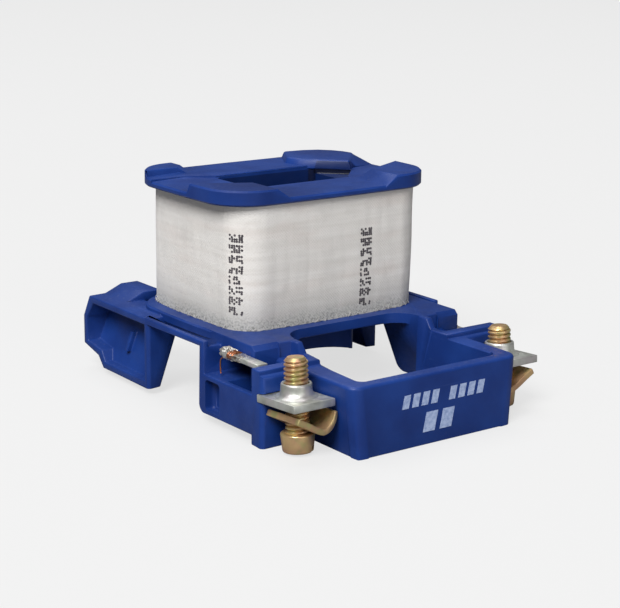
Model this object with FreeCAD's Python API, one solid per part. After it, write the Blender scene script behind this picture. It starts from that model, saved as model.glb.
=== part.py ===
import FreeCAD, Part
import math
import os

# Coil of a small contactor, in millimetres.
# X runs along the printed front wall, Y runs away from the terminals, Z is up.
# The origin is on the axis of the core slot, level with the lowest faces of the moulding.

# Heights of the moulding above the resting plane
frame_top = 10.2
leg_bottom = 1.4
wing_bottom = 1.0
shelf_top = 12.45
shelf_thickness = 1.5

# Bobbin: two oval flanges on a tube that takes the iron core
flange_half_x = 19.0
flange_half_y = 13.95
flange_corner = 6.5
flange_bow = 0.5
flange_thickness = 0.9
flange_edge = 0.25
plateau_height = 0.4
plateau_left_x = 12.8
plateau_left_y = 7.2
winding_height = 18.15
slot_half_x = 9.0
slot_half_y = 4.9
slot_corner = 1.0
tube_wall = 0.9
sleeve_bottom = 4.5
sleeve_arch = 1.4
sleeve_corner = 1.4

# Raised pads on the upper flange, each reaching in to its own inner corner
pad_height = 1.35
pad_corner_cut = 1.6
front_pad_x = 10.8
front_pad_y = 7.4
front_pad_side_y = 3.35
front_pad_lean = (-2.4, -0.9)
back_left_pad_x = 11.5
back_left_pad_y = 9.3
back_left_pad_lean = (-2.1, 0.3)
back_right_pad_x = 9.9
back_right_pad_y = 0.4
back_right_notch_x = 8.2
back_right_notch_y = 8.6
back_right_pad_lean = (0.8, 0.5)

# Winding and the tape round it
tape_half_x = 16.95
tape_half_y = 13.4
tape_corner = 4.6
tape_bow = 0.5
tape_thickness = 0.35
seat_gap = 0.05

# Terminal frame, tapered from its top edge to its bottom edge
frame_front = -36.6
frame_half_top = 15.0
frame_taper = 1.3
frame_corner = 1.9
frame_lip_round = 0.5
front_wall = 1.8
side_wall_front = 2.6
side_wall_back = 3.7
window_front_corner = 1.2
window_back = -15.1
window_back_corner = 3.6
ramp_front = -22.0
ramp_back = -20.5

# Shoulders beside the window
shoulder_set_in = 3.11
shoulder_front = -19.34
shoulder_wall = 1.0
shoulder_wall_bottom = 6.6
shoulder_edge = 0.7
shelf_rim_height = 1.3

# Side boxes: the legs in front, the wings behind
side_width = 6.75
skin = 1.1
leg_back = -10.1
leg_lean = 4.1
leg_skin_top = 7.1
leg_bottom_corner = 1.3
pocket_depth_below_skin = 2.6
recess_front = -14.7
recess_low = 2.2
recess_high = 6.0
recess_depth = 1.6
wing_front = 3.8
wing_edge_round = 0.6
wing_foot_back = 17.3
wing_belly_back = 23.2
wing_belly_low = 3.8
wing_belly_high = 8.3
wing_heel_back = 18.8
wing_heel_height = 2.7
wing_crown_back = 21.3
wing_top = 11.8
wing_depth_top = 5.75
wing_depth_bottom = 2.15
roof_front = 14.3
roof_depth = 8.75
roof_crest_depth = 5.65
roof_step_depth = 2.65
roof_top = 13.05
roof_seat = 0.5
bar_depth = 0.95
bar_height = 0.9
rib_back = 13.4
rib_width = 0.9
rib_height = 3.0
rib_depth = 1.75

# Walls behind the terminals
stop_back = -23.05
stop_front = -25.66
stop_top = 10.3
stop_edge_round = 0.7

# Terminal stacks: plate with tapped collar, clamp washer and screw
screw_y = -28.9
stack_tilt = 3.5
plate_overhang = 0.2
plate_half_y = 4.3
plate_thickness = 1.1
plate_top = 7.9
plate_gap = 0.1
collar_height = 1.9
collar_radius = 2.25
collar_base_radius = 2.6
tail_width = 1.8
tail_thickness = 0.7
tail_set_in = 1.95
tail_run_top_left = 11.1
tail_run_top_right = 9.2
tail_end = -14.2
tail_clearance = 0.1
screw_radius = 1.7
screw_clearance = 0.04
screw_top_left = 13.3
screw_top_right = 12.2
screw_point = 0.5
head_radius_top = 2.4
head_radius_bottom = 2.1
head_height = 2.7
head_bottom = 0.25
drive_slot_width = 0.8
drive_slot_depth = 1.1
washer_front = -33.1
washer_back = -25.9
washer_thickness = 0.9
washer_outer = 2.9
washer_outer_rise = 2.3
washer_inner = 3.5
washer_inner_rise = 3.1
washer_bend_x = 1.2
washer_bend_radius = 1.2
washer_hole_clearance = 0.25

# Ends of the winding wire, soldered to the terminal tails
lead_radius = 0.22
lead_hole_clearance = 0.25
lead_set_in_x = 3.05
lead_set_in_y = 1.6
lead_drop = 1.0
solder_radius = 1.05
solder_length = 1.9
solder_past_tail = 0.7

shelf_bottom = shelf_top - shelf_thickness
flange_bottom = shelf_top + winding_height
flange_top = flange_bottom + flange_thickness
tube_half_x = slot_half_x + tube_wall
tube_half_y = slot_half_y + tube_wall
frame_half_bottom = frame_half_top - frame_taper
window_half_front = frame_half_top - side_wall_front
window_half_back = frame_half_top - side_wall_back
body_half = frame_half_top + side_width
shoulder_half = body_half - shoulder_set_in
leg_inner_bottom = body_half - side_width
leg_inner_top = leg_inner_bottom - leg_lean
wing_inner_top = body_half - wing_depth_top
wing_inner_bottom = body_half - wing_depth_bottom
plate_inner = frame_half_top + plate_gap
plate_outer = body_half + plate_overhang
screw_x = (frame_half_top + body_half) / 2
tail_x = body_half - tail_set_in
lead_x = tape_half_x - lead_set_in_x
lead_y = lead_set_in_y - tape_half_y
past = 1.0
far = 60.0


def vector(x, y, z):
    return FreeCAD.Vector(x, y, z)


def block(x, y, z):
    """Box from three (low, high) pairs."""
    size = [abs(pair[1] - pair[0]) for pair in (x, y, z)]
    return Part.makeBox(*size, vector(min(x), min(y), min(z)))


def prism(corners, direction):
    """Solid swept from a flat polygon along a vector."""
    face = Part.Face(Part.makePolygon(corners + corners[:1]))
    return face.extrude(direction)


def prism_along_x(corners_yz, x0, x1):
    return prism([vector(x0, y, z) for y, z in corners_yz], vector(x1 - x0, 0, 0))


def prism_along_y(corners_xz, y0, y1):
    return prism([vector(x, y0, z) for x, z in corners_xz], vector(0, y1 - y0, 0))


def prism_along_z(corners_xy, z0, z1):
    return prism([vector(x, y, z0) for x, y in corners_xy], vector(0, 0, z1 - z0))


def mirrored(shape):
    """The same shape on the other side of the plane x = 0."""
    return shape.mirror(vector(0, 0, 0), vector(1, 0, 0))


def both_sides(shape):
    return shape.fuse(mirrored(shape))


def edges_along(shape, axis, keep=None):
    """Straight edges parallel to an axis, filtered by their middle point."""
    found = []
    for edge in shape.Edges:
        if not isinstance(edge.Curve, Part.Line):
            continue
        if abs(abs(edge.Curve.Direction.dot(axis)) - 1) > 1e-4:
            continue
        middle = edge.valueAt((edge.FirstParameter + edge.LastParameter) / 2)
        if keep is None or keep(middle):
            found.append(edge)
    return found


def bowed_block(half_x, half_y, bow, corner, z0, z1):
    """Upright block with gently bowed sides and rounded corners."""
    cx = half_x - bow
    cy = half_y - bow
    arcs = [
        Part.Arc(vector(cx, -cy, z0), vector(half_x, 0, z0), vector(cx, cy, z0)),
        Part.Arc(vector(cx, cy, z0), vector(0, half_y, z0), vector(-cx, cy, z0)),
        Part.Arc(vector(-cx, cy, z0), vector(-half_x, 0, z0), vector(-cx, -cy, z0)),
        Part.Arc(vector(-cx, -cy, z0), vector(0, -half_y, z0), vector(cx, -cy, z0)),
    ]
    wire = Part.Wire([arc.toShape() for arc in arcs])
    solid = Part.Face(wire).extrude(vector(0, 0, z1 - z0))
    return solid.makeFillet(corner, edges_along(solid, vector(0, 0, 1)))


def rounded_block(half_x, half_y, corner, z0, z1):
    solid = block((-half_x, half_x), (-half_y, half_y), (z0, z1))
    return solid.makeFillet(corner, edges_along(solid, vector(0, 0, 1)))


def outline_edges(shape, z):
    """Edges that lie in the level plane z."""
    return [e for e in shape.Edges if abs(e.BoundBox.ZMin - z) < 1e-4 and abs(e.BoundBox.ZMax - z) < 1e-4]


def flange(z0, z1):
    plate = bowed_block(flange_half_x, flange_half_y, flange_bow, flange_corner, z0, z1)
    return plate.makeChamfer(flange_edge, outline_edges(plate, z0) + outline_edges(plate, z1))


def pad(corners, lean, height=pad_height):
    """Raised part of the upper flange, cut from the flange's own outline, with leaning ends."""
    low = flange_top - flange_edge
    high = flange_top + height
    oval = bowed_block(flange_half_x, flange_half_y, flange_bow, flange_corner, low, high)
    oval = oval.makeChamfer(flange_edge, outline_edges(oval, high))
    foot = [vector(x - lean[0], y - lean[1], low) for x, y in corners]
    return prism(foot, vector(lean[0], lean[1], high - low)).common(oval)


def plateau():
    """Low step behind the core slot that joins the two back pads."""
    right = back_right_pad_x + pad_corner_cut
    corners = [(-far, plateau_left_y), (-plateau_left_x, plateau_left_y), (-slot_half_x, slot_half_y),
               (right, slot_half_y), (far, slot_half_y), (far, far), (-far, far)]
    return pad(corners, (0, 0), plateau_height)


def pads():
    """Four pads that hold the coil clear of the contactor's housing."""
    s = pad_corner_cut
    front = [(-far, -front_pad_side_y), (-flange_half_x, -front_pad_side_y), (-front_pad_x, -front_pad_y),
             (-front_pad_x, -far), (-far, -far)]
    back_left = [(-far, back_left_pad_y), (-back_left_pad_x - s, back_left_pad_y),
                 (-back_left_pad_x, back_left_pad_y + s), (-back_left_pad_x, far), (-far, far)]
    back_right = [(far, back_right_pad_y), (back_right_pad_x + s, back_right_pad_y),
                  (back_right_pad_x, back_right_pad_y + s), (back_right_pad_x, back_right_notch_y - s),
                  (back_right_notch_x, back_right_notch_y), (back_right_notch_x - s, far), (far, far)]
    front_left = pad(front, front_pad_lean)
    return front_left.fuse([mirrored(front_left), pad(back_left, back_left_pad_lean),
                            pad(back_right, back_right_pad_lean), plateau()])


def window():
    """Opening between the terminal frame and the bobbin, for a limb of the iron core."""
    corners = [(-window_half_front, frame_front + front_wall), (window_half_front, frame_front + front_wall),
               (window_half_back, ramp_front), (window_half_back, window_back),
               (-window_half_back, window_back), (-window_half_back, ramp_front)]
    opening = prism_along_z(corners, -past, shelf_top + past)
    back = edges_along(opening, vector(0, 0, 1), lambda p: abs(p.y - window_back) < 0.01)
    opening = opening.makeFillet(window_back_corner, back)
    front = edges_along(opening, vector(0, 0, 1), lambda p: p.y < ramp_front - past)
    return opening.makeFillet(window_front_corner, front)


def frame_body():
    """Front wall and side walls, wider at the top, with rounded front corners."""
    section = [(-frame_half_bottom, 0), (frame_half_bottom, 0),
               (frame_half_top, frame_top), (-frame_half_top, frame_top)]
    body = prism_along_y(section, frame_front, shoulder_front + shoulder_wall)
    upright = [e for e in body.Edges if abs(e.BoundBox.YMax - frame_front) < 0.01 and e.BoundBox.ZLength > past]
    body = body.makeFillet(frame_corner, upright)
    lip = [e for e in outline_edges(body, frame_top) if e.BoundBox.YMax < shoulder_front]
    return body.makeFillet(frame_lip_round, lip)


def ramp():
    """Slope from a side wall of the frame up to the shoulder."""
    low = frame_top - past
    back = shoulder_front + shoulder_wall
    side = [(ramp_front, low), (ramp_front, frame_top), (ramp_back, shelf_top), (back, shelf_top), (back, low)]
    return prism_along_x(side, window_half_back - past, frame_half_top - frame_lip_round)


def shoulder():
    """Thin shelf beside the window with a wall under its front edge."""
    shelf = block((0, shoulder_half), (shoulder_front, 0), (shelf_bottom, shelf_top))
    wall = block((window_half_back, shoulder_half), (shoulder_front, shoulder_front + shoulder_wall),
                 (shoulder_wall_bottom, shelf_top))
    corner = shelf.fuse(wall).removeSplitter()
    front = edges_along(corner, vector(1, 0, 0), lambda p: p.y < shoulder_front + 0.01 and p.z > shelf_top - 0.01)
    return corner.makeChamfer(shoulder_edge, front)


def shelf_rim():
    """Rim that hangs from the outer edge of the shelf between the leg and the wing."""
    return block((shoulder_half - skin, shoulder_half), (shoulder_front, wing_front + skin),
                 (shelf_bottom - shelf_rim_height, shelf_bottom))


def stop_wall():
    """Wall behind a terminal, with its edges rounded."""
    wall = block((window_half_back, body_half), (stop_front, stop_back), (0, stop_top))
    outer = [e for e in wall.Edges if abs(e.BoundBox.ZMin - stop_top) < 0.01 and e.BoundBox.XLength > past]
    outer += edges_along(wall, vector(0, 0, 1), lambda p: p.x > body_half - 0.01 and p.y < stop_front + 0.01)
    return wall.makeFillet(stop_edge_round, outer)


def leg():
    """Box beside the window whose inner wall leans outward towards the floor."""
    section = [(body_half, leg_bottom), (leg_inner_bottom, leg_bottom),
               (leg_inner_top, shelf_bottom), (body_half, shelf_bottom)]
    body = prism_along_y(section, stop_front + stop_edge_round, leg_back)
    heel = edges_along(body, vector(1, 0, 0), lambda p: p.y > leg_back - 0.01 and p.z < leg_bottom + 0.01)
    return body.makeFillet(leg_bottom_corner, heel)


def leg_hollows():
    """Open pocket for the soldered tail, the space behind the skin and a small recess."""
    back = leg_back - skin
    lean = (leg_inner_bottom - leg_inner_top) / (shelf_bottom - leg_bottom)
    floor = leg_skin_top - pocket_depth_below_skin
    inner_high = leg_inner_top + skin
    inner_low = inner_high + lean * (shelf_bottom - leg_skin_top)
    inner_floor = inner_high + lean * (shelf_bottom - floor)
    open_part = [(far, leg_skin_top), (inner_low, leg_skin_top), (inner_high, shelf_bottom), (far, shelf_bottom)]
    hidden = [(body_half - skin, floor), (inner_floor, floor), (inner_low, leg_skin_top),
              (body_half - skin, leg_skin_top)]
    recess = block((body_half - recess_depth, far), (back - past, recess_front), (recess_low, recess_high))
    return [prism_along_y(open_part, stop_back, back),
            prism_along_y(hidden, stop_back, recess_front - skin), recess]


def wing_outline(inset):
    """Side outline of a wing as (y, z) corners, moved inward by a wall thickness."""
    return [(wing_front + inset, wing_bottom + inset),
            (wing_foot_back - inset / 2, wing_bottom + inset),
            (wing_heel_back - inset, wing_heel_height + inset),
            (wing_belly_back - inset, wing_belly_low + inset / 2),
            (wing_belly_back - inset, wing_belly_high),
            (wing_crown_back - inset, wing_top - inset),
            (wing_front + inset, wing_top - inset)]


def wing():
    """Scoop behind the winding: open outward, with a leaning inner wall and a stepped roof."""
    section = [(body_half, wing_bottom), (wing_inner_bottom, wing_bottom),
               (wing_inner_top, shelf_bottom), (wing_inner_top, wing_top), (body_half, wing_top)]
    body = prism_along_y(section, wing_front, wing_belly_back)
    body = body.common(prism_along_x(wing_outline(0), 0, far))
    post = edges_along(body, vector(0, 0, 1), lambda p: p.x > body_half - 0.01 and p.y < wing_front + 0.01)
    body = body.makeFillet(wing_edge_round, post)
    roof_inner = body_half - roof_depth
    roof_crest = body_half - roof_crest_depth
    roof_step = body_half - roof_step_depth
    roof = [(wing_inner_top, shelf_bottom), (roof_inner, shelf_bottom), (roof_inner, roof_top),
            (roof_crest, roof_top), (roof_step, wing_top), (wing_inner_top, wing_top - roof_seat)]
    return body.fuse(prism_along_y(roof, roof_front, wing_crown_back))


def wing_hollow():
    lean = (wing_inner_bottom - wing_inner_top) / (shelf_bottom - wing_bottom)
    low = wing_bottom + skin
    high = wing_top - skin
    section = [(far, low), (wing_inner_top + skin + lean * (shelf_bottom - low), low),
               (wing_inner_top + skin, high), (far, high)]
    space = prism_along_y(section, wing_front + skin, far)
    return space.common(prism_along_x(wing_outline(skin), 0, far))


def wing_rib():
    """Small upright rib on the back of the hollow."""
    middle = (wing_bottom + shelf_bottom) / 2
    lean = (wing_inner_bottom - wing_inner_top) / (shelf_bottom - wing_bottom)
    root = wing_inner_top + lean * (shelf_bottom - middle)
    return block((root, root + rib_depth), (rib_back - rib_width, rib_back),
                 (middle - rib_height / 2, middle + rib_height / 2))


def side_bar():
    """Thin bar that joins the top of a leg to the top of a wing."""
    return block((body_half - bar_depth, body_half), (leg_back - skin, wing_front + skin),
                 (shelf_bottom, shelf_bottom + bar_height))


def plate_seat():
    """Recess in the front of the wall behind a terminal, for the back edge of the plate."""
    gap = plate_gap
    seat = block((plate_inner - gap, far), (stop_front - past, screw_y + plate_half_y + gap),
                 (plate_top - plate_thickness - gap, plate_top + gap))
    return tilted(seat)


def tail_passage():
    """Slot through the wall behind a terminal, for the tail of its plate."""
    half = tail_width / 2 + tail_clearance
    low = tail_level() - tail_thickness - tail_clearance
    return block((tail_x - half, tail_x + half), (stop_front - past, stop_back + past),
                 (low, tail_level() + tail_clearance))


def tail_level():
    """Height of the top of the tail where it passes through the wall."""
    drop = (stop_back - screw_y) * math.tan(math.radians(stack_tilt))
    return plate_top - drop


def lead_sweep(radius, top, run_top):
    """Round wire from the winding, down through the shelf and across to the tail."""
    path = [vector(lead_x, lead_y, top), vector(lead_x, lead_y, run_top - lead_drop),
            vector(tail_x, tail_end - solder_past_tail, run_top - tail_thickness - 2 * lead_radius)]
    mitred = 1
    sweep = Part.BRepOffsetAPI.MakePipeShell(Part.makePolygon(path))
    sweep.setTransitionMode(mitred)
    sweep.add(Part.Wire(Part.makeCircle(radius, path[0], vector(0, 0, 1))))
    sweep.build()
    sweep.makeSolid()
    return sweep.shape()


def lead_passage(run_top):
    """Hole through the shelf, and through any wall that the wire meets on its way."""
    return lead_sweep(lead_radius + lead_hole_clearance, shelf_top + past, run_top)


def tube():
    """Tube round the core slot; it reaches below the shelf and its lower rim is arched."""
    solid = rounded_block(tube_half_x, tube_half_y, sleeve_corner, sleeve_bottom, flange_bottom + seat_gap)
    left = vector(-tube_half_x, -far, sleeve_bottom)
    crown = vector(0, -far, sleeve_bottom + sleeve_arch)
    right = vector(tube_half_x, -far, sleeve_bottom)
    rim = Part.Wire([Part.Arc(left, crown, right).toShape(), Part.LineSegment(right, left).toShape()])
    return solid.cut(Part.Face(rim).extrude(vector(0, 2 * far, 0)))


def bobbin_carrier():
    """The one-piece moulding: bobbin, shoulders, terminal frame, legs and wings."""
    lower = flange(shelf_bottom, shelf_top)
    upper = flange(flange_bottom, flange_top)
    boxes = stop_wall().fuse([leg(), wing(), side_bar()])
    boxes = boxes.cut(leg_hollows() + [wing_hollow(), plate_seat(), tail_passage()])
    solid = both_sides(boxes.fuse([shoulder(), shelf_rim(), ramp(), wing_rib()]))
    solid = solid.fuse([frame_body(), lower])
    solid = solid.cut([window(), lead_passage(tail_run_top_right), mirrored(lead_passage(tail_run_top_left))])
    solid = solid.fuse([tube(), upper, pads()])
    slot = rounded_block(slot_half_x, slot_half_y, slot_corner, sleeve_bottom - past, flange_top + pad_height + past)
    return solid.cut(slot).removeSplitter()


def winding():
    """Packed turns of enamelled wire between the flanges, under the tape."""
    inset = tape_thickness + seat_gap
    outer = bowed_block(tape_half_x - inset, tape_half_y - inset, tape_bow, tape_corner - inset,
                        shelf_top, flange_bottom)
    core = rounded_block(tube_half_x + seat_gap, tube_half_y + seat_gap, sleeve_corner + seat_gap,
                         shelf_top - past, flange_bottom + past)
    return outer.cut(core)


def tape_wrap():
    outer = bowed_block(tape_half_x, tape_half_y, tape_bow, tape_corner, shelf_top, flange_bottom)
    inner = bowed_block(tape_half_x - tape_thickness, tape_half_y - tape_thickness, tape_bow,
                        tape_corner - tape_thickness, shelf_top - past, flange_bottom + past)
    return outer.cut(inner)


def tilted(shape):
    """Lean a terminal stack back about the middle of its plate."""
    turned = shape.copy()
    turned.rotate(vector(screw_x, screw_y, plate_top), vector(1, 0, 0), -stack_tilt)
    return turned


def screw_axis_cylinder(radius):
    return Part.makeCylinder(radius, far, vector(screw_x, screw_y, -far / 2))


def terminal_plate(run_top):
    """Steel plate with a tapped collar; its tail runs back through the wall and up to the solder."""
    plate = block((plate_inner, plate_outer),
                  (screw_y - plate_half_y, screw_y + plate_half_y), (plate_top - plate_thickness, plate_top))
    collar = Part.makeCone(collar_base_radius, collar_radius, collar_height, vector(screw_x, screw_y, plate_top))
    body = tilted(plate.fuse(collar).cut(screw_axis_cylinder(screw_radius + screw_clearance)))
    t = tail_thickness
    level = tail_level()
    rise = stop_back + tail_clearance + t
    root = screw_y + plate_half_y - past
    path = [(root, level - t), (rise, level - t), (rise, run_top - t), (tail_end, run_top - t),
            (tail_end, run_top), (rise - t, run_top), (rise - t, level), (root, level)]
    tail = prism_along_x(path, tail_x - tail_width / 2, tail_x + tail_width / 2)
    return body.fuse(tail).removeSplitter()


def clamp_washer():
    """Square washer bent to a hook, so that it holds a wire against the plate."""
    low = head_bottom + head_height + seat_gap
    t = washer_thickness
    x_out = screw_x + washer_outer
    x_in = screw_x - washer_inner
    x_bend = screw_x - washer_bend_x
    bottom = [(x_out, low + washer_outer_rise), (x_bend, low), (x_in, low + washer_inner_rise)]
    top = [(x_in + t, low + washer_inner_rise + t / 2), (x_bend + t / 4, low + t),
           (x_out, low + washer_outer_rise + t)]
    body = prism_along_y(bottom + top, washer_front, washer_back)
    bend = edges_along(body, vector(0, 1, 0), lambda p: abs(p.x - x_bend) < 0.01)
    body = body.makeFillet(washer_bend_radius, bend)
    hole = screw_axis_cylinder(screw_radius + washer_hole_clearance)
    return tilted(body.cut(hole))


def terminal_screw(top):
    """Slotted screw put in from below, with its point above the collar."""
    head = Part.makeCone(head_radius_bottom, head_radius_top, head_height, vector(screw_x, screw_y, head_bottom))
    shank_base = head_bottom + head_height
    shank = Part.makeCylinder(screw_radius, top - screw_point - shank_base,
                              vector(screw_x, screw_y, shank_base))
    point = Part.makeCone(screw_radius, screw_radius - screw_point, screw_point,
                          vector(screw_x, screw_y, top - screw_point))
    drive = block((screw_x - drive_slot_width / 2, screw_x + drive_slot_width / 2),
                  (screw_y - far, screw_y + far), (head_bottom - past, head_bottom + drive_slot_depth))
    return tilted(head.fuse([shank, point]).cut(drive).removeSplitter())


def solder_joint(run_top, plate, wire):
    """Bead of solder round the end of the tail, with the wire in it."""
    start = vector(tail_x, tail_end - solder_past_tail - solder_length / 2, run_top - tail_thickness / 2)
    finish = start + vector(0, solder_length, 0)
    bead = Part.makeCylinder(solder_radius, solder_length, start, vector(0, 1, 0))
    bead = bead.fuse([Part.makeSphere(solder_radius, start), Part.makeSphere(solder_radius, finish)])
    return bead.removeSplitter().cut([plate, wire])


def terminal(run_top, screw_end):
    """Everything at one end of the front wall, as it stands on the right."""
    plate = terminal_plate(run_top)
    wire = lead_sweep(lead_radius, shelf_top, run_top)
    return {
        "terminal_plate": plate,
        "clamp_washer": clamp_washer(),
        "terminal_screw": terminal_screw(screw_end),
        "winding_lead": wire,
        "solder_joint": solder_joint(run_top, plate, wire),
    }


def export(name, shape):
    shape.exportStep(os.path.join("parts", name + ".step"))


def main():
    os.makedirs("parts", exist_ok=True)
    export("bobbin_carrier", bobbin_carrier())
    export("winding", winding())
    export("tape_wrap", tape_wrap())
    for name, shape in terminal(tail_run_top_right, screw_top_right).items():
        export(name + "_right", shape)
    for name, shape in terminal(tail_run_top_left, screw_top_left).items():
        export(name + "_left", mirrored(shape))


main()
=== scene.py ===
import math
import random

import bpy
from mathutils import Matrix, Vector, noise


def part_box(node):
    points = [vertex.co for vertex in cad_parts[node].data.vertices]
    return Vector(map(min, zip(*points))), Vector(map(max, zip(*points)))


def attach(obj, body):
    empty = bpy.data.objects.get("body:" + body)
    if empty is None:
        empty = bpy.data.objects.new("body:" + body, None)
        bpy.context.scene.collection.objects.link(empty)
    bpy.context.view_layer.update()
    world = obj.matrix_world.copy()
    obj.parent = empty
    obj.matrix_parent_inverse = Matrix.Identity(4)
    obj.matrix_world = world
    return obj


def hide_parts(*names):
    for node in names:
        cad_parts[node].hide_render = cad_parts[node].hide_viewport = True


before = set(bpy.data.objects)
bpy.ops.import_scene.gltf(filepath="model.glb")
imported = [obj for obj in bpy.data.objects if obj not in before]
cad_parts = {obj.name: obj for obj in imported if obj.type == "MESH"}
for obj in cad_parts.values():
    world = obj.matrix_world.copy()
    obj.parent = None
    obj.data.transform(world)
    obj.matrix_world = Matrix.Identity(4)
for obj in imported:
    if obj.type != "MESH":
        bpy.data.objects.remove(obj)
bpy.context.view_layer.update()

# Looks of a contactor coil, in metres. X runs along the front wall, Y away from the terminals, Z is up.
mm = 0.001

# Sizes shared with the frame
tape_half_x = 16.95 * mm
tape_half_y = 13.4 * mm
tape_corner = 4.6 * mm
tape_bow = 0.5 * mm
tape_bottom = 12.45 * mm
tape_top = 30.6 * mm
tape_overlap = 1.07
frame_front = -36.6 * mm
screw_x = 18.375 * mm
screw_y = -28.9 * mm
plate_top = 7.9 * mm
stack_tilt = math.radians(3.5)
head_bottom = 0.25 * mm
head_height = 2.7 * mm
head_radius_top = 2.4 * mm
head_radius_bottom = 2.1 * mm
screw_tops = {"left": 13.3 * mm, "right": 12.2 * mm}
tail_x = 19.8
tail_levels = {"left": 10.75, "right": 8.85}


# Helpers for pieces

def deselect():
    """Leave no piece selected."""
    bpy.ops.object.select_all(action="DESELECT")


def pick(piece):
    """Make one piece the only selected and active one."""
    deselect()
    piece.select_set(True)
    bpy.context.view_layer.objects.active = piece


def new_piece(name):
    """Name the primitive that was just added."""
    piece = bpy.context.active_object
    piece.name = name
    piece.data.name = name
    return piece


def apply_modifier(piece, kind, **settings):
    """Add a modifier and apply it at once."""
    pick(piece)
    modifier = piece.modifiers.new(kind.title(), kind)
    for key, value in settings.items():
        setattr(modifier, key, value)
    bpy.ops.object.modifier_apply(modifier=modifier.name)


def place(piece, matrix):
    """Move a piece's own mesh, so that its object stays at the origin."""
    piece.data.transform(matrix @ piece.matrix_world)
    piece.matrix_world = Matrix.Identity(4)
    piece.data.update()


def outward(piece):
    """Turn every face of a piece outward."""
    pick(piece)
    bpy.ops.object.mode_set(mode="EDIT")
    bpy.ops.mesh.select_all(action="SELECT")
    bpy.ops.mesh.normals_make_consistent(inside=False)
    bpy.ops.object.mode_set(mode="OBJECT")


def smooth(piece, degrees):
    """Shade a piece smooth, apart from edges sharper than an angle."""
    pick(piece)
    bpy.ops.object.shade_smooth_by_angle(angle=math.radians(degrees))


def join(name, pieces):
    """Make one piece of several."""
    deselect()
    for piece in pieces:
        piece.select_set(True)
    bpy.context.view_layer.objects.active = pieces[0]
    bpy.ops.object.join()
    return new_piece(name)


def add(piece, material, slot, *nodes):
    """Give a piece its material and its place in the frame."""
    piece.data.materials.clear()
    piece.data.materials.append(material)
    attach(piece, "root")
    if nodes:
        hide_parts(*nodes)
    return piece


def long_sharp_edges(mesh, sharp, shortest):
    """Mark the edges that a bevel may round: sharp ones that aren't facets of a curve."""
    normals = {}
    for face in mesh.polygons:
        for key in face.edge_keys:
            normals.setdefault(key, []).append(face.normal.copy())
    weights = mesh.attributes.new("bevel_weight_edge", "FLOAT", "EDGE")
    for edge in mesh.edges:
        sides = normals.get(edge.key, [])
        ends = [mesh.vertices[i].co for i in edge.vertices]
        if len(sides) == 2 and sides[0].angle(sides[1], 0) > sharp and (ends[0] - ends[1]).length > shortest:
            weights.data[edge.index].value = 1.0


def plain_copy(node, name):
    """Copy of a CAD node with its facets merged."""
    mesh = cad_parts[node].data.copy()
    piece = bpy.data.objects.new(name, mesh)
    bpy.context.scene.collection.objects.link(piece)
    pick(piece)
    bpy.ops.mesh.customdata_custom_splitnormals_clear()
    bpy.ops.object.mode_set(mode="EDIT")
    bpy.ops.mesh.select_all(action="SELECT")
    bpy.ops.mesh.remove_doubles(threshold=0.002 * mm)
    bpy.ops.mesh.dissolve_limited(angle_limit=math.radians(0.6))
    bpy.ops.mesh.normals_make_consistent(inside=False)
    bpy.ops.object.mode_set(mode="OBJECT")
    return piece


def round_edges(piece, width, sharp=50, shortest=0.7):
    """Round the long sharp edges of a piece a little."""
    long_sharp_edges(piece.data, math.radians(sharp), shortest * mm)
    apply_modifier(piece, "BEVEL", width=width, segments=2, limit_method="WEIGHT", use_clamp_overlap=False)
    smooth(piece, 40)


def mesh_piece(name, points, faces):
    """Piece from corner points in metres and its faces."""
    mesh = bpy.data.meshes.new(name)
    mesh.from_pydata(points, [], faces)
    piece = bpy.data.objects.new(name, mesh)
    bpy.context.scene.collection.objects.link(piece)
    return piece


def prism(name, foot, top, low, high):
    """Closed solid between two polygons with as many corners, at two heights (all in mm)."""
    count = len(foot)
    points = [Vector((x, y, low)) * mm for x, y in foot] + [Vector((x, y, high)) * mm for x, y in top]
    faces = [list(range(count))[::-1], list(range(count, 2 * count))]
    faces += [[i, (i + 1) % count, count + (i + 1) % count, count + i] for i in range(count)]
    piece = mesh_piece(name, points, faces)
    outward(piece)
    return piece


def box(name, x, y, z):
    """Block from three (low, high) pairs in mm."""
    corners = [(x[0], y[0]), (x[1], y[0]), (x[1], y[1]), (x[0], y[1])]
    return prism(name, corners, corners, z[0], z[1])


def cut(piece, cutter):
    """Take a cutter away from a piece and remove the cutter."""
    apply_modifier(piece, "BOOLEAN", object=cutter, operation="DIFFERENCE", solver="EXACT")
    bpy.data.objects.remove(cutter)


def tube(name, points, radius, sides=10):
    """Round wire through a list of points in mm."""
    curve = bpy.data.curves.new(name, "CURVE")
    curve.dimensions = "3D"
    curve.bevel_depth = radius * mm
    curve.bevel_resolution = sides // 4
    curve.use_fill_caps = True
    spline = curve.splines.new("NURBS")
    spline.points.add(len(points) - 1)
    for point, spot in zip(spline.points, points):
        point.co = (*(Vector(spot) * mm), 1.0)
    spline.use_endpoint_u = True
    spline.order_u = 3
    piece = bpy.data.objects.new(name, curve)
    bpy.context.scene.collection.objects.link(piece)
    pick(piece)
    bpy.ops.object.convert(target="MESH")
    smooth(piece, 60)
    return bpy.context.active_object


# Helpers for materials

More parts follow.
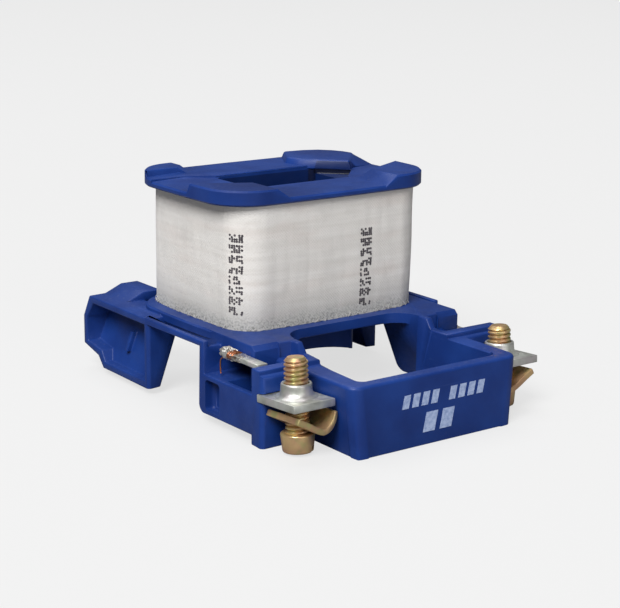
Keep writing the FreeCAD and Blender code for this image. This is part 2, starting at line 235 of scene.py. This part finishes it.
class Paint:
    """A node material that is built up step by step."""

    def __init__(self, name, coordinates="Object"):
        self.material = bpy.data.materials.new(name)
        self.material.use_nodes = True
        self.tree = self.material.node_tree
        self.shader = self.tree.nodes["Principled BSDF"]
        self.place = self.node("ShaderNodeTexCoord").outputs[coordinates]

    def node(self, kind, inputs=None, **settings):
        made = self.tree.nodes.new(kind)
        for key, value in settings.items():
            setattr(made, key, value)
        for key, value in (inputs or {}).items():
            self.put(made.inputs[key], value)
        return made

    def put(self, socket, value):
        if isinstance(value, bpy.types.NodeSocket):
            self.tree.links.new(value, socket)
        else:
            socket.default_value = value

    def set(self, **values):
        for key, value in values.items():
            self.put(self.shader.inputs[key.replace("_", " ")], value)

    def stretched(self, scale):
        return self.node("ShaderNodeMapping", {"Vector": self.place, "Scale": scale}).outputs[0]

    def noise(self, scale, detail=3.0, rough=0.5, where=None):
        source = self.place if where is None else where
        made = self.node("ShaderNodeTexNoise", {"Vector": source, "Scale": scale, "Detail": detail,
                                                "Roughness": rough})
        return made.outputs["Fac"]

    def ramp(self, factor, low, high, start=0.0, end=1.0):
        """Map a range of the factor to a range of values."""
        made = self.node("ShaderNodeMapRange", {"Value": factor, "From Min": low, "From Max": high,
                                                "To Min": start, "To Max": end})
        return made.outputs[0]

    def math(self, operation, a, b=0.0):
        return self.node("ShaderNodeMath", {0: a, 1: b}, operation=operation).outputs[0]

    def mix(self, factor, a, b):
        made = self.node("ShaderNodeMix", data_type="RGBA")
        for index, value in ((0, factor), (6, a), (7, b)):
            self.put(made.inputs[index], value)
        return made.outputs[2]

    def inside(self, centre, reach):
        """One inside a block given in mm, zero outside it."""
        spot = self.node("ShaderNodeSeparateXYZ", {0: self.place})
        share = 1.0
        for axis, middle, half in zip("XYZ", centre, reach):
            off = self.math("ABSOLUTE", self.math("SUBTRACT", spot.outputs[axis], middle * mm))
            share = self.math("MULTIPLY", share, self.ramp(off, (half - 0.08) * mm, half * mm, 1.0, 0.0))
        return share

    def bump(self, height, depth, normal=None):
        inputs = {"Height": height, "Distance": depth, "Strength": 1.0}
        if normal is not None:
            inputs["Normal"] = normal
        return self.node("ShaderNodeBump", inputs).outputs[0]


def colour(red, green, blue):
    return (red, green, blue, 1.0)


# Materials

def moulded_plastic():
    """Blue thermoplastic with moulded grain, uneven gloss, scuffs, a little pale dust, and painted
    near-black shade in the core slot and the notch beside it.
    """
    paint = Paint("blue_moulding")
    clouds = paint.ramp(paint.noise(140, 3), 0.35, 0.65)
    body = paint.mix(clouds, colour(0.0050, 0.0245, 0.145), colour(0.0080, 0.0365, 0.195))
    scratch_field = paint.noise(240, 4, 0.6, paint.stretched((0.25, 1.0, 6.0)))
    scuffs = paint.ramp(scratch_field, 0.66, 0.74, 0.0, 0.15)
    body = paint.mix(scuffs, body, colour(0.05, 0.09, 0.27))
    facing = paint.node("ShaderNodeSeparateXYZ", {0: paint.node("ShaderNodeNewGeometry").outputs["Normal"]})
    settled = paint.ramp(facing.outputs["Z"], 0.5, 1.0)
    specks = paint.ramp(paint.noise(2600, 2), 0.60, 0.72, 0.015, 0.10)
    dust = paint.math("MULTIPLY", settled, specks)
    body = paint.mix(dust, body, colour(0.26, 0.30, 0.38))
    # Painted shade: near-black colour inside the core slot and on the notch floor, and at half strength on
    # the pad wall above the notch
    slot_painted_shade = (0, 0, 15), (9.05, 4.95, 16.3), 0.88
    notch_floor_painted_shade = (11.0, 0.0, 31.05), (2.2, 4.75, 0.42), 0.93
    pad_wall_painted_shade = (11.0, 1.9, 31.9), (2.3, 2.35, 0.75), 0.5
    for centre, reach, depth in (slot_painted_shade, notch_floor_painted_shade, pad_wall_painted_shade):
        shaded = paint.math("MULTIPLY", paint.inside(centre, reach), depth)
        body = paint.mix(shaded, body, colour(0.0006, 0.001, 0.006))
    gloss = paint.ramp(paint.noise(420, 4, 0.6), 0.3, 0.7, 0.36, 0.52)
    grain = paint.bump(paint.noise(5200, 2), 0.012 * mm)
    waves = paint.bump(paint.noise(160, 2), 0.05 * mm, grain)
    paint.set(Base_Color=body, Roughness=gloss, Normal=waves, Specular_IOR_Level=0.26)
    return paint.material


def woven_tape():
    """Off-white cloth tape: plain weave, faint bands, open threads at its lower edge."""
    paint = Paint("cloth_tape", "UV")
    around = paint.node("ShaderNodeSeparateXYZ", {0: paint.place})
    warp = paint.math("SINE", paint.math("MULTIPLY", around.outputs["X"], 1640.0))
    weft = paint.math("SINE", paint.math("MULTIPLY", around.outputs["Y"], 258.0))
    drift = paint.ramp(paint.noise(1.0, 3, 0.6, paint.stretched((260.0, 40.0, 1.0))), 0.25, 0.75)
    threads = paint.math("MULTIPLY", paint.ramp(paint.math("MULTIPLY", warp, weft), -1.0, 1.0), drift)
    bands = paint.noise(1.0, 4, 0.6, paint.stretched((7.0, 16.0, 1.0)))
    body = paint.mix(paint.ramp(bands, 0.3, 0.75), colour(0.71, 0.69, 0.665), colour(0.60, 0.575, 0.545))
    blush = paint.ramp(paint.noise(1.0, 3, 0.5, paint.stretched((11.0, 7.0, 1.0))), 0.5, 0.8, 0.0, 0.35)
    body = paint.mix(blush, body, colour(0.54, 0.44, 0.40))
    patches = paint.ramp(paint.noise(1.0, 4, 0.6, paint.stretched((26.0, 5.0, 1.0))), 0.55, 0.8, 0.0, 0.35)
    body = paint.mix(patches, body, colour(0.42, 0.405, 0.385))
    body = paint.mix(paint.math("MULTIPLY", threads, 0.20), body, colour(0.36, 0.34, 0.32))
    fluff = paint.noise(1.0, 3, 0.7, paint.stretched((700.0, 120.0, 1.0)))
    body = paint.mix(paint.ramp(fluff, 0.55, 0.8, 0.0, 0.35), body, colour(0.72, 0.71, 0.69))
    wander = paint.ramp(paint.noise(1.0, 2, 0.5, paint.stretched((30, 1, 1))), 0, 1, -0.04, 0.04)
    rim = paint.math("ADD", around.outputs["Y"], wander)
    # Darker towards the lower edge of the tape, along a slightly wandering line
    lower_edge_darkening = paint.ramp(rim, 0.02, 0.30, 0.50, 0.0)
    body = paint.mix(lower_edge_darkening, body, colour(0.20, 0.205, 0.185))
    near_edge = paint.ramp(rim, 0.03, 0.13, 1.0, 0.0)
    gaps = paint.ramp(paint.noise(1.0, 2, 0.6, paint.stretched((300.0, 50.0, 1.0))), 0.45, 0.62, 0.0, 0.55)
    body = paint.mix(paint.math("MULTIPLY", near_edge, gaps), body, colour(0.06, 0.07, 0.06))
    knit = paint.bump(threads, 0.04 * mm)
    hairs = paint.bump(fluff, 0.05 * mm, knit)
    paint.set(Base_Color=body, Roughness=0.85, Normal=hairs, Sheen_Weight=0.2)
    return paint.material


def print_ink(name, light, dark):
    """Worn printing ink, thin in places."""
    paint = Paint(name)
    shade = paint.mix(paint.ramp(paint.noise(1700, 4, 0.7), 0.35, 0.62), light, dark)
    paint.set(Base_Color=shade, Roughness=0.6, Normal=paint.bump(paint.noise(4000, 2), 0.01 * mm),
              Specular_IOR_Level=0.3)
    return paint.material


def plated(name, first, second, third, rough):
    """Plated steel with drifting tints, tumbling marks and dull patches."""
    paint = Paint(name)
    tint = paint.mix(paint.ramp(paint.noise(330, 3), 0.35, 0.62), first, second)
    tint = paint.mix(paint.ramp(paint.noise(620, 2, 0.4), 0.48, 0.7), tint, third)
    dull = paint.ramp(paint.noise(900, 4, 0.65), 0.3, 0.7, rough - 0.1, rough + 0.14)
    marks = paint.noise(2400, 3, 0.6, paint.stretched((1.0, 0.35, 1.0)))
    paint.set(Base_Color=tint, Metallic=0.8, Roughness=dull, Normal=paint.bump(marks, 0.02 * mm))
    return paint.material


def zinc():
    """Bright zinc with grey patches."""
    return plated("zinc_steel", colour(0.62, 0.64, 0.60), colour(0.42, 0.43, 0.39),
                  colour(0.58, 0.55, 0.55), 0.42)


def yellow_zinc():
    """Yellow passivated zinc that drifts to pink and green."""
    return plated("yellow_zinc", colour(0.72, 0.52, 0.25), colour(0.58, 0.34, 0.21),
                  colour(0.50, 0.46, 0.20), 0.38)


def tin_solder():
    """Lumpy solder with burnt flux."""
    paint = Paint("solder")
    shade = paint.mix(paint.ramp(paint.noise(900, 4), 0.35, 0.62), colour(0.78, 0.76, 0.72),
                      colour(0.34, 0.30, 0.26))
    burnt = paint.ramp(paint.noise(1500, 3), 0.58, 0.68, 0.0, 0.8)
    shade = paint.mix(burnt, shade, colour(0.16, 0.08, 0.03))
    lumps = paint.bump(paint.noise(1300, 3), 0.12 * mm)
    paint.set(Base_Color=shade, Metallic=0.9, Roughness=paint.ramp(paint.noise(500), 0.3, 0.7, 0.15, 0.42),
              Normal=lumps)
    return paint.material


def enamelled_copper():
    """Copper wire under clear enamel."""
    paint = Paint("enamelled_copper")
    shade = paint.mix(paint.ramp(paint.noise(500, 3), 0.35, 0.65), colour(0.50, 0.18, 0.06),
                      colour(0.30, 0.09, 0.035))
    paint.set(Base_Color=shade, Metallic=0.9, Roughness=0.28, Coat_Weight=0.6,
              Normal=paint.bump(paint.noise(1800, 2), 0.01 * mm))
    return paint.material


def floor_paint():
    """Pale studio floor: evenly bright to the camera, with a faint shadow, and darker in reflections."""
    paint = Paint("studio_floor")
    shade = paint.mix(paint.ramp(paint.noise(3, 2), 0.3, 0.7), colour(0.80, 0.80, 0.80),
                      colour(0.81, 0.81, 0.81))
    paint.set(Base_Color=shade, Roughness=0.9)
    even = paint.node("ShaderNodeEmission", {"Color": colour(0.825, 0.825, 0.825), "Strength": 1.0})
    lit = paint.node("ShaderNodeMixShader", {0: 0.84, 1: paint.shader.outputs[0], 2: even.outputs[0]})
    unseen = paint.node("ShaderNodeBsdfDiffuse", {"Color": colour(0.22, 0.22, 0.22)})
    rays = paint.node("ShaderNodeLightPath")
    seen = paint.node("ShaderNodeMixShader", {0: rays.outputs["Is Camera Ray"], 1: unseen.outputs[0],
                                              2: lit.outputs[0]})
    paint.put(paint.tree.nodes["Material Output"].inputs["Surface"], seen.outputs[0])
    return paint.material


# Pieces

def wrapped_point(distance):
    """Point and outward direction at a distance along the bowed, rounded outline of the tape."""
    half_x = tape_half_x - tape_bow
    half_y = tape_half_y - tape_bow
    flat_x = half_x - tape_corner
    flat_y = half_y - tape_corner
    quarter = math.pi / 2 * tape_corner
    lengths = [2 * flat_x, quarter, 2 * flat_y, quarter]
    turn = 2 * sum(lengths)
    distance %= turn
    half_turned = distance > turn / 2
    distance %= turn / 2
    if distance < lengths[0]:
        along = distance - flat_x
        bow = tape_bow * (1 - (along / half_x) ** 2)
        point, normal = Vector((-along, half_y + bow, 0)), Vector((0, 1, 0))
    elif distance < sum(lengths[:2]):
        angle = (distance - lengths[0]) / tape_corner
        normal = Vector((-math.sin(angle), math.cos(angle), 0))
        share = (1 - (flat_x / half_x) ** 2, 1 - (flat_y / half_y) ** 2)
        bow = tape_bow * (share[0] + (share[1] - share[0]) * angle / (math.pi / 2))
        point = Vector((-flat_x, flat_y, 0)) + normal * (tape_corner + bow)
    elif distance < sum(lengths[:3]):
        along = distance - sum(lengths[:2]) - flat_y
        bow = tape_bow * (1 - (along / half_y) ** 2)
        point, normal = Vector((-half_x - bow, -along, 0)), Vector((-1, 0, 0))
    else:
        angle = (distance - sum(lengths[:3])) / tape_corner
        normal = Vector((-math.cos(angle), -math.sin(angle), 0))
        share = (1 - (flat_x / half_x) ** 2, 1 - (flat_y / half_y) ** 2)
        bow = tape_bow * (share[1] + (share[0] - share[1]) * angle / (math.pi / 2))
        point = Vector((-flat_x, -flat_y, 0)) + normal * (tape_corner + bow)
    if half_turned:
        return -point, -normal
    return point, normal


def tape_length():
    """Length of one turn, bow left out."""
    flat = 2 * (tape_half_x + tape_half_y - 2 * tape_bow - 2 * tape_corner)
    return 2 * flat + 2 * math.pi * tape_corner


def tape_surface(distance, v):
    """Point on the outside of the tape, slack in places, and the direction away from the winding."""
    u = distance / (tape_overlap * tape_length())
    point, normal = wrapped_point(distance)
    height = tape_bottom + (tape_top - tape_bottom) * v
    spiral = 0.20 * mm * (u - 1.0)
    belly = 0.12 * mm * math.sin(math.pi * v)
    slack = 0.08 * mm * noise.noise(Vector((point.x * 260, point.y * 260, height * 120)))
    creases = 0.04 * mm * noise.noise(Vector((point.x * 900, point.y * 900, height * 260)))
    edge = 0.16 * mm * noise.noise(Vector((u * 140, 3.0, 1.0))) * (1 - v) ** 6
    flare = 0.35 * mm * v ** 4 * max(0.0, normal.x)
    place_out = point + normal * (spiral + belly + slack + creases + flare - 0.03 * mm)
    place_out.z = height + edge + 0.03 * mm * (0.5 - v)
    return place_out, normal


def tape(material):
    """One turn and a bit of cloth tape round the winding, with its end on top."""
    bpy.ops.mesh.primitive_grid_add(x_subdivisions=520, y_subdivisions=56, size=1)
    piece = new_piece("tape")
    for vertex in piece.data.vertices:
        distance = (vertex.co.x + 0.5) * tape_overlap * tape_length()
        vertex.co = tape_surface(distance, vertex.co.y + 0.5)[0]
    apply_modifier(piece, "SOLIDIFY", thickness=0.15 * mm, offset=-1.0)
    outward(piece)
    smooth(piece, 50)
    add(piece, material, "cloth_tape", "tape_wrap")
    return piece


def dotted_marks(name, distance, first, material):
    """Column of plain dotted marks on the tape."""
    random.seed(7)
    cells, rows, columns, empty_share = 8, 4, 6, 0.34
    row_step, rows_to_next_cell = 0.29 * mm, 5.2
    dot, step, sides = 0.185 * mm, 0.36 * mm, 7
    points, faces = [], []
    for cell in range(cells):
        for row in range(rows):
            for column in range(columns):
                if random.random() < empty_share:
                    continue
                along = distance + (column - (columns - 1) / 2) * step + random.uniform(-1, 1) * 0.04 * mm
                height = first + (cell * rows_to_next_cell + row) * row_step
                centre, out = tape_surface(along, (height - tape_bottom) / (tape_top - tape_bottom))
                side = Vector((-out.y, out.x, 0))
                start = len(points)
                for i in range(sides):
                    turn = 2 * math.pi * i / sides
                    points.append(centre + out * 0.03 * mm + side * dot * math.cos(turn)
                                  + Vector((0, 0, dot * math.sin(turn))))
                faces.append(list(range(start, start + sides)))
    piece = mesh_piece(name, points, faces)
    apply_modifier(piece, "SOLIDIFY", thickness=0.04 * mm, offset=-1.0)
    outward(piece)
    return add(piece, material, "cloth_tape")


def loose_threads(material):
    """Short frayed threads along the lower edge of the tape."""
    random.seed(11)
    strands = []
    for _ in range(150):
        distance = random.uniform(0.02, 0.98) * tape_length()
        start, out = tape_surface(distance, random.uniform(0.015, 0.05))
        side = Vector((-out.y, out.x, 0))
        drift = side * random.uniform(-0.7, 0.7) * mm
        end = start + drift + out * random.uniform(0.05, 0.3) * mm
        end.z = tape_bottom + random.uniform(0.02, 0.25) * mm
        middle = (start + end) / 2 + out * random.uniform(0.08, 0.3) * mm
        strands.append(tube("strand", [p / mm for p in (start, middle, end)], 0.035, 4))
    piece = join("tape_threads", strands)
    return add(piece, material, "cloth_tape")


def stack_place(side):
    """Place of a terminal stack: over its screw, leaning back a little."""
    sign = -1 if side == "left" else 1
    pivot = Vector((sign * screw_x, screw_y, plate_top))
    lean = Matrix.Rotation(-stack_tilt, 4, "X")
    return Matrix.Translation(pivot) @ lean @ Matrix.Translation((0, 0, -plate_top))


def shank(side):
    """Threaded shank: a dense tube whose skin follows the thread's helix."""
    pitch = 0.62 * mm
    outer, root = 1.66 * mm, 1.28 * mm
    low, high = head_bottom + head_height, screw_tops[side]
    point = 0.55 * mm
    columns, rows_per_turn = 48, 9
    rows = int((high - low) / pitch * rows_per_turn)
    bpy.ops.mesh.primitive_grid_add(x_subdivisions=columns, y_subdivisions=rows, size=1)
    piece = new_piece("shank")
    for vertex in piece.data.vertices:
        angle = (vertex.co.x + 0.5) * 2 * math.pi
        height = low + (vertex.co.y + 0.5) * (high - low)
        phase = (height / pitch - angle / (2 * math.pi)) % 1.0
        tooth = min(1.0, max(0.0, 1.55 - 3.1 * abs(phase - 0.5)))
        radius = root + (outer - root) * tooth
        radius = min(radius, outer - max(0.0, height - high + point) * 0.9)
        vertex.co = (radius * math.cos(angle), radius * math.sin(angle), height)
    pick(piece)
    bpy.ops.object.mode_set(mode="EDIT")
    bpy.ops.mesh.select_all(action="SELECT")
    bpy.ops.mesh.remove_doubles(threshold=0.002 * mm)
    bpy.ops.mesh.select_all(action="DESELECT")
    bpy.ops.mesh.select_non_manifold()
    bpy.ops.mesh.edge_face_add()
    bpy.ops.object.mode_set(mode="OBJECT")
    return piece


def screw_head():
    """Tapered slotted head with rounded rims."""
    bpy.ops.mesh.primitive_cylinder_add(vertices=72, radius=head_radius_top, depth=head_height,
                                        location=(0, 0, head_bottom + head_height / 2))
    piece = new_piece("head")
    place(piece, Matrix.Identity(4))
    taper = head_radius_bottom / head_radius_top
    for vertex in piece.data.vertices:
        if vertex.co.z < head_bottom + 0.1 * mm:
            vertex.co.x *= taper
            vertex.co.y *= taper
    apply_modifier(piece, "BEVEL", width=0.28 * mm, segments=4, limit_method="ANGLE",
                   angle_limit=math.radians(40))
    bpy.ops.mesh.primitive_cube_add(size=1)
    cutter = new_piece("drive_slot")
    slot_size = Matrix.Diagonal((0.8 * mm, 8 * mm, 2.0 * mm, 1.0))
    place(cutter, Matrix.Translation((0, 0, head_bottom)) @ slot_size)
    cut(piece, cutter)
    return piece


def screw(side, material):
    """Clamp screw, head downwards."""
    piece = join("screw_" + side, [screw_head(), shank(side)])
    turn = math.radians(35 if side == "left" else -20)
    place(piece, stack_place(side) @ Matrix.Rotation(turn, 4, "Z"))
    outward(piece)
    smooth(piece, 40)
    return add(piece, material, "yellow_zinc", "terminal_screw_" + side)


def curve_through(points, steps):
    """Evenly stepped smooth curve through (x, z) points."""
    padded = [points[0]] + points + [points[-1]]
    found = []
    for i in range(len(points) - 1):
        a, b, c, d = (Vector(p) for p in padded[i:i + 4])
        for step in range(steps):
            t = step / steps
            found.append(0.5 * (2 * b + (c - a) * t + (2 * a - 5 * b + 4 * c - d) * t * t
                                + (3 * b - a - 3 * c + d) * t ** 3))
    return found + [Vector(points[-1])]


def washer(side, material):
    """Thick square washer, bent to a smooth hook that thins towards its curled end."""
    sign = -1 if side == "left" else 1
    line = curve_through([(2.85, 5.62), (1.2, 4.75), (-0.4, 3.85), (-1.5, 3.50), (-2.5, 3.95),
                          (-3.2, 4.95), (-3.45, 6.05)], 6)
    upper, lower = [], []
    for i, point in enumerate(line):
        ahead = line[min(i + 1, len(line) - 1)] - line[max(i - 1, 0)]
        normal = Vector((ahead.y, -ahead.x)).normalized()
        half_thick = 0.45 - 0.22 * max(0.0, (i / len(line) - 0.6) / 0.4)
        upper.append(point + normal * half_thick)
        lower.append(point - normal * half_thick)
    section = [(sign * p.x, p.y) for p in upper + lower[::-1]]
    count, rows = len(section), 9
    front, depth = -4.2, 7.2
    points, faces = [], []
    for row in range(rows):
        y = front + depth * row / (rows - 1)
        points += [Vector((x, y, z)) * mm for x, z in section]
    for row in range(rows - 1):
        for i in range(count):
            j = (i + 1) % count
            faces.append([row * count + i, row * count + j, (row + 1) * count + j, (row + 1) * count + i])
    faces += [list(range(count)), list(range((rows - 1) * count, rows * count))[::-1]]
    piece = mesh_piece("washer_" + side, points, faces)
    outward(piece)
    bpy.ops.mesh.primitive_cylinder_add(vertices=48, radius=1.95 * mm, depth=20 * mm)
    cut(piece, bpy.context.active_object)
    round_edges(piece, 0.14 * mm, 55, 0.1)
    place(piece, stack_place(side))
    return add(piece, material, "yellow_zinc", "clamp_washer_" + side)


def collar():
    """Drawn collar with a flared foot, a rounded rim and a worn edge."""
    profile = [(1.76, 7.4), (1.76, 9.72), (1.86, 9.80), (2.02, 9.78), (2.12, 9.66), (2.14, 9.45),
               (2.15, 9.0), (2.20, 8.6), (2.34, 8.28), (2.58, 8.07), (2.9, 7.96), (3.0, 7.86), (2.9, 7.4)]
    sides = 72
    points, faces = [], []
    for i in range(sides):
        angle = 2 * math.pi * i / sides
        wobble = 1 + 0.012 * noise.noise(Vector((math.cos(angle), math.sin(angle), 0)) * 2.5)
        for radius, z in profile:
            reach = radius * (wobble if radius > 1.8 else 1)
            points.append(Vector((reach * math.cos(angle), reach * math.sin(angle), z)) * mm)
    count = len(profile)
    for i in range(sides):
        following = (i + 1) % sides
        for k in range(count):
            j = (k + 1) % count
            faces.append([i * count + k, following * count + k, following * count + j, i * count + j])
    piece = mesh_piece("collar", points, faces)
    outward(piece)
    return piece


def plate(side, material):
    """Terminal plate with worn edges and a drawn collar in place of the plain cone."""
    body = plain_copy("terminal_plate_" + side, "plate_body")
    bpy.ops.mesh.primitive_cylinder_add(vertices=72, radius=2.75 * mm, depth=6 * mm,
                                        location=(0, 0, plate_top + 3 * mm))
    cutter = bpy.context.active_object
    bpy.context.view_layer.update()
    place(cutter, stack_place(side))
    cut(body, cutter)
    round_edges(body, 0.16 * mm)
    ring = collar()
    place(ring, stack_place(side))
    piece = join("plate_" + side, [body, ring])
    smooth(piece, 45)
    return add(piece, material, "zinc_steel", "terminal_plate_" + side)


def sharpen_frame_foot(mesh):
    """Bring the frame's rounded front corners almost to a point at the bottom edge."""
    wall_height, corner_radius, corner_centre_y = 10.2, 1.9, -34.7
    half_at_foot, half_gained = 13.7, 1.3
    near = 0.01
    for vertex in mesh.vertices:
        x, y, z = vertex.co / mm
        half = half_at_foot + half_gained * z / wall_height
        dx, dy = abs(x) - (half - corner_radius), corner_centre_y - y
        if z < wall_height and dx > near and dy > near and abs(x) < half + near:
            reach = 1 + 0.8 * (1 - z / wall_height) * (corner_radius / max(dx, dy) - 1)
            vertex.co.x = math.copysign(half - corner_radius + dx * reach, x) * mm
            vertex.co.y = (corner_centre_y - dy * reach) * mm


def lean_ribs(mesh):
    """Turn the outer faces of the small wing ribs parallel to the leaning walls behind them."""
    wall_x, wall_top, wall_slope = 17.9, 10.95, 0.3618
    for vertex in mesh.vertices:
        x, y, z = vertex.co / mm
        if 12.3 < y < 13.5 and 4.2 < z < 7.7 and 19.5 < abs(x) < 19.6:
            vertex.co.x = math.copysign(wall_x + wall_slope * (wall_top - z), x) * mm


def long_pad():
    """The long pad at the back right of the upper flange, with a ramp at its right end."""
    foot = [(6.1, 8.6), (6.9, 5.6), (9.3, 3.8), (13.1, 0.3), (15.0, 1.8), (18.95, 1.8), (18.75, 5.2),
            (18.35, 8.0), (17.4, 10.5), (15.6, 12.35), (13.0, 13.3), (9.0, 13.65)]
    top = [(6.75, 8.5), (7.35, 6.0), (9.5, 4.1), (12.95, 0.75), (13.3, 1.1), (16.9, 5.2), (18.2, 6.8),
           (17.9, 8.6), (17.0, 10.4), (15.3, 12.1), (12.9, 13.05), (9.6, 13.4)]
    piece = prism("long_pad", foot, top, 31.3, 32.84)
    apply_modifier(piece, "BEVEL", width=0.3 * mm, segments=3, limit_method="ANGLE",
                   angle_limit=math.radians(35))
    smooth(piece, 40)
    return piece


def moulding(material):
    """The one-piece moulding with its finer cuts, rounded edges and long pad."""
    piece = plain_copy("bobbin_carrier", "moulding_body")
    sharpen_frame_foot(piece.data)
    lean_ribs(piece.data)
    # Outer part of each ramp, and the recess in each leg
    for sign in (-1, 1):
        cut(piece, box("cutter", sorted((sign * 12.4, sign * 16.0)), (-23.0, -19.34), (10.2, 14.0)))
        recess = box("cutter", sorted((sign * 20.2, sign * 23.0)), (-15.3, -11.7), (1.9, 6.5))
        apply_modifier(recess, "BEVEL", width=0.6 * mm, segments=4, limit_method="ANGLE")
        cut(piece, recess)
    # Room for the long pad, and the notch between it and the core slot
    cut(piece, box("cutter", (5.0, 22.0), (4.9, 16.0), (31.9, 34.0)))
    cut(piece, box("cutter", (9.0, 22.0), (-1.2, 4.9), (31.5, 34.0)))
    notch = [(8.6, -4.5), (12.9, 0.2), (9.2, 3.9), (8.6, 4.6)]
    cut(piece, prism("cutter", notch, notch, 30.68, 34.0))
    round_edges(piece, 0.22 * mm)
    piece = join("moulding", [piece, long_pad()])
    return add(piece, material, "blue_moulding", "bobbin_carrier")


def wall_marks(material):
    """Two rows of plain slanted bars printed on the front wall."""
    bars = []
    upper_row = 5.8, 7.7, [-6.4, -4.7, -3.0, -1.3, 1.9, 3.6, 5.3, 7.0], 1.15
    lower_row = 1.9, 4.7, [-2.6, 0.4], 2.1
    for low, high, starts, width in (upper_row, lower_row):
        for x in starts:
            slant = 0.2 * (high - low)
            corners = [(x, low), (x + width, low), (x + width + slant, high), (x + slant, high)]
            bar = prism("bar", corners, corners, -0.01, 0.02)
            place(bar, Matrix.Translation((0, frame_front, 0)) @ Matrix.Rotation(math.radians(90), 4, "X"))
            bars.append(bar)
    return add(join("wall_marks", bars), material, "blue_moulding")


def solder(side, material):
    """Ragged bead of solder on the end of the tail."""
    low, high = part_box("solder_joint_" + side)
    centre, half = (low + high) / 2, (high - low) / 2
    bpy.ops.mesh.primitive_ico_sphere_add(subdivisions=6, radius=1)
    piece = new_piece("solder_" + side)
    for vertex in piece.data.vertices:
        direction = vertex.co.normalized()
        coarse = noise.noise(direction * 2.2 + centre * 900)
        fine = noise.noise(direction * 6.0 + centre * 500)
        lump = 0.86 + 0.30 * coarse + 0.14 * fine
        vertex.co = centre + direction * half * lump
    smooth(piece, 60)
    return add(piece, material, "solder", "solder_joint_" + side)


def tinned_tail(material):
    """Thin uneven coat of solder on the left tail in front of the bead."""
    centre = Vector((-tail_x, -17.5, tail_levels["left"]))
    bpy.ops.mesh.primitive_ico_sphere_add(subdivisions=5, radius=1)
    piece = new_piece("tinning_left")
    for vertex in piece.data.vertices:
        direction = vertex.co.normalized()
        lump = 1.0 + 0.22 * noise.noise(direction * 5.0 - Vector((1, 0, 0)))
        x, y, z = (math.copysign(abs(c) ** 0.6, c) for c in direction)
        vertex.co = (centre + Vector((1.02 * x * lump, 1.9 * y, 0.44 * z * lump))) * mm
    smooth(piece, 60)
    return add(piece, material, "solder")


def wire_ends(side, material):
    """Turns of the winding wire round the tail, and its cut end."""
    sign = -1 if side == "left" else 1
    level = tail_levels[side]
    steps, steps_per_turn, advance = 26, 9, 0.055
    turns = []
    for i in range(steps):
        angle = 2 * math.pi * i / steps_per_turn
        turns.append((sign * tail_x + math.cos(angle), -17.0 + advance * i, level + 0.58 * math.sin(angle)))
    wrap = tube("wrap", turns, 0.16)
    end = tube("end", [(sign * 19.9, -15.4, level), (sign * 20.3, -13.6, level - 0.7),
                       (sign * 20.1, -13.0, level - 2.0), (sign * 20.3, -13.5, level - 3.2)], 0.11)
    piece = join("wire_end_" + side, [wrap, end])
    return add(piece, material, "enamelled_copper")


def studio(material):
    """Pale floor under the coil and soft light from the upper left."""
    bpy.ops.mesh.primitive_plane_add(size=20)
    floor = new_piece("floor")
    floor.data.materials.append(material)
    lamps = [("key", (-1.40, -0.90, 1.70), 1.1, 78.0), ("top", (0.06, 0.75, 2.20), 1.5, 27.0),
             ("fill", (-0.20, -2.40, 0.60), 1.5, 14.0)]
    aim = Vector((0, -0.005, 0.015))
    for name, where, size, power in lamps:
        lamp = bpy.data.lights.new(name, "AREA")
        lamp.size = size
        lamp.energy = power
        holder = bpy.data.objects.new(name, lamp)
        bpy.context.scene.collection.objects.link(holder)
        holder.location = where
        holder.rotation_euler = (aim - Vector(where)).to_track_quat("-Z", "Y").to_euler()
    world = bpy.data.worlds.new("studio")
    bpy.context.scene.world = world
    world.use_nodes = True
    tree = world.node_tree
    background = tree.nodes["Background"]
    background.inputs["Color"].default_value = colour(1.0, 1.0, 1.0)
    strength = tree.nodes.new("ShaderNodeMapRange")
    tree.links.new(tree.nodes.new("ShaderNodeLightPath").outputs["Is Camera Ray"], strength.inputs["Value"])
    strength.inputs["To Min"].default_value = 0.11
    strength.inputs["To Max"].default_value = 0.855
    tree.links.new(strength.outputs[0], background.inputs["Strength"])


def camera():
    """Camera at the angle, height and distance of the photograph."""
    azimuth, elevation, roll = (math.radians(a) for a in (-36.74, 14.26, 0.77))
    back = Vector((math.sin(azimuth) * math.cos(elevation), -math.cos(azimuth) * math.cos(elevation),
                   math.sin(elevation)))
    right = Vector((math.cos(azimuth), math.sin(azimuth), 0))
    up = back.cross(right)
    turned_right = right * math.cos(roll) + up * math.sin(roll)
    turned_up = up * math.cos(roll) - right * math.sin(roll)
    data = bpy.data.cameras.new("camera")
    data.lens = 96.34
    data.sensor_width = 36.0
    data.clip_start, data.clip_end = 0.01, 50.0
    holder = bpy.data.objects.new("camera", data)
    bpy.context.scene.collection.objects.link(holder)
    axes = Matrix((turned_right, turned_up, back)).transposed().to_4x4()
    holder.matrix_world = Matrix.Translation(Vector((-143.83, -199.67, 74.46)) * mm) @ axes
    bpy.context.scene.camera = holder
    bpy.context.scene.view_settings.view_transform = "Standard"


def build():
    """Make every material and piece, then the studio."""
    cloth, steel, yellow = woven_tape(), zinc(), yellow_zinc()
    tin, copper = tin_solder(), enamelled_copper()
    moulding(moulded_plastic())
    wall_marks(print_ink("pale_ink", colour(0.22, 0.29, 0.50), colour(0.38, 0.46, 0.66)))
    tape(cloth)
    loose_threads(cloth)
    dark = print_ink("dark_ink", colour(0.035, 0.03, 0.035), colour(0.10, 0.09, 0.10))
    dotted_marks("marks_left", 50.0 * mm, 14.9 * mm, dark)
    dotted_marks("marks_right", 72.0 * mm, 13.9 * mm, dark)
    for side in ("left", "right"):
        plate(side, steel)
        washer(side, yellow)
        screw(side, yellow)
        solder(side, tin)
        wire_ends(side, copper)
        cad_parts["winding_lead_" + side].data.materials[0] = copper
    tinned_tail(tin)
    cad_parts["winding"].data.materials[0] = copper
    studio(floor_paint())
    camera()


build()
